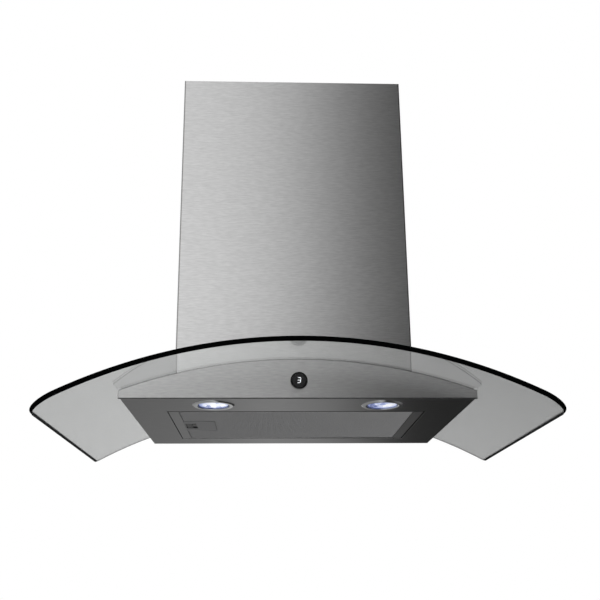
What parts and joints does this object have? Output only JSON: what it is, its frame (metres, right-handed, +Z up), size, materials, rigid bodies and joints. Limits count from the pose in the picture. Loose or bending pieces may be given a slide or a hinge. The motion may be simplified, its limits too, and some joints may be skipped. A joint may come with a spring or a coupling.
{
  "type": "range hood",
  "caption": "Wall chimney range hood: bent glass canopy over a shallow steel body with a round control, lamps, a drop-down grease filter and a telescopic chimney.",
  "frame": {"origin": "centre of the four wall-screw holes, on the wall face of the fan case", "axes": "+X to the right seen from the front, the front faces -Y, +Z up; the wall is the plane Y = 0"},
  "size_m": [0.9, 0.591, 0.8603],
  "materials": {
    "clear_glass": "clear",
    "black_foam": "matte",
    "fascia_steel": "brushed",
    "underside_steel": "brushed",
    "inner_steel": "satin",
    "zinc_steel": "satin",
    "black_rubber": "matte",
    "screw_steel": "polished",
    "filter_steel": "brushed",
    "filter_mesh": "satin",
    "filter_wool": "matte",
    "latch_plastic": "matte",
    "black_plastic": "matte",
    "spring_steel": "satin",
    "black_satin": "satin",
    "black_gloss": "gloss",
    "circuit_board": "gloss",
    "grey_plastic": "matte",
    "wheel_plastic": "matte",
    "shaft_steel": "polished",
    "motor_aluminium": "cast",
    "capacitor_white": "matte",
    "chimney_steel": "brushed",
    "lamp_chrome": "polished",
    "lamp_lens": "frosted",
    "led_board": "matte",
    "sink_aluminium": "cast"
  },
  "bodies": {
    "hood": {"bottom_panel": "underside_steel", "button_spring": "spring_steel", "cable_gland": "black_plastic", "canopy_glass": "clear_glass", "case_cover_screws": "screw_steel", "chimney_bracket": "zinc_steel", "clamp_pads": "black_rubber", "clamp_screws": "screw_steel", "control_board": "circuit_board", "control_box": "black_plastic", "control_box_lid": "black_plastic", "control_housing": "black_plastic", "cover_stops": "zinc_steel", "damper_pin": "shaft_steel", "fan_case": "zinc_steel", "fan_case_cover": "zinc_steel", "fascia_panel": "fascia_steel", "filter_pivots": "screw_steel", "glass_clamps": "zinc_steel", "glass_gasket": "black_foam", "inlet_ring": "grey_plastic", "left_lamp_board": "led_board", "left_lamp_clips": "spring_steel", "left_lamp_heat_sink": "sink_aluminium", "left_lamp_lens": "lamp_lens", "left_lamp_ring": "lamp_chrome", "lower_cover": "chimney_steel", "motor_body": "motor_aluminium", "motor_capacitor": "capacitor_white", "motor_mount": "zinc_steel", "motor_rings": "black_rubber", "outlet_collar": "grey_plastic", "outlet_duct": "grey_plastic", "outlet_flange": "grey_plastic", "power_board": "circuit_board", "rear_panel": "inner_steel", "right_lamp_board": "led_board", "right_lamp_clips": "spring_steel", "right_lamp_heat_sink": "sink_aluminium", "right_lamp_lens": "lamp_lens", "right_lamp_ring": "lamp_chrome", "top_sheet": "inner_steel", "volute_back": "zinc_steel", "volute_front": "zinc_steel", "volute_wrap": "zinc_steel"},
    "filter": {"filter_frame": "filter_steel", "filter_face_mesh": "filter_mesh", "filter_mesh_pack": "filter_wool", "filter_back_mesh": "filter_mesh", "latch_housing": "latch_plastic", "latch_spring": "spring_steel"},
    "latch": {"latch_bolt": "black_plastic"},
    "selector": {"selector_ring": "black_satin"},
    "button": {"display_button": "black_gloss"},
    "wheel": {"impeller": "wheel_plastic", "motor_shaft": "shaft_steel"},
    "front_flap": {"front_damper_flap": "grey_plastic"},
    "rear_flap": {"rear_damper_flap": "grey_plastic"},
    "upper_chimney": {"upper_cover": "chimney_steel"}
  },
  "joints": [
    {"name": "filter_hinge", "type": "hinge", "parent": "hood", "child": "filter", "pos_m": [0.237, -0.211, -0.2155], "axis": [0, -1, 0], "range_deg": [0, 75]},
    {"name": "latch_slide", "type": "slide", "parent": "filter", "child": "latch", "axis": [1, 0, 0], "range_m": [0, 0.006], "stiffness_N_per_m": 300, "springref_m": -0.003, "deforming": ["latch_spring"]},
    {"name": "selector_turn", "type": "hinge", "parent": "hood", "child": "selector", "pos_m": [0, -0.469, -0.187], "axis": [0, -1, 0], "continuous": true},
    {"name": "button_press", "type": "slide", "parent": "hood", "child": "button", "axis": [0, 1, 0], "range_m": [0, 0.0012], "stiffness_N_per_m": 800, "springref_m": -0.001, "deforming": ["button_spring"]},
    {"name": "wheel_spin", "type": "hinge", "parent": "hood", "child": "wheel", "pos_m": [-0.075, -0.07, -0.03], "axis": [0, 1, 0], "continuous": true},
    {"name": "front_flap_hinge", "type": "hinge", "parent": "hood", "child": "front_flap", "pos_m": [0, -0.084, 0.206], "axis": [-1, 0, 0], "range_deg": [0, 78]},
    {"name": "rear_flap_hinge", "type": "hinge", "parent": "hood", "child": "rear_flap", "pos_m": [0, -0.084, 0.206], "axis": [1, 0, 0], "range_deg": [0, 78]},
    {"name": "upper_cover_slide", "type": "slide", "parent": "hood", "child": "upper_chimney", "axis": [0, 0, 1], "range_m": [0, 0.35]}
  ]
}
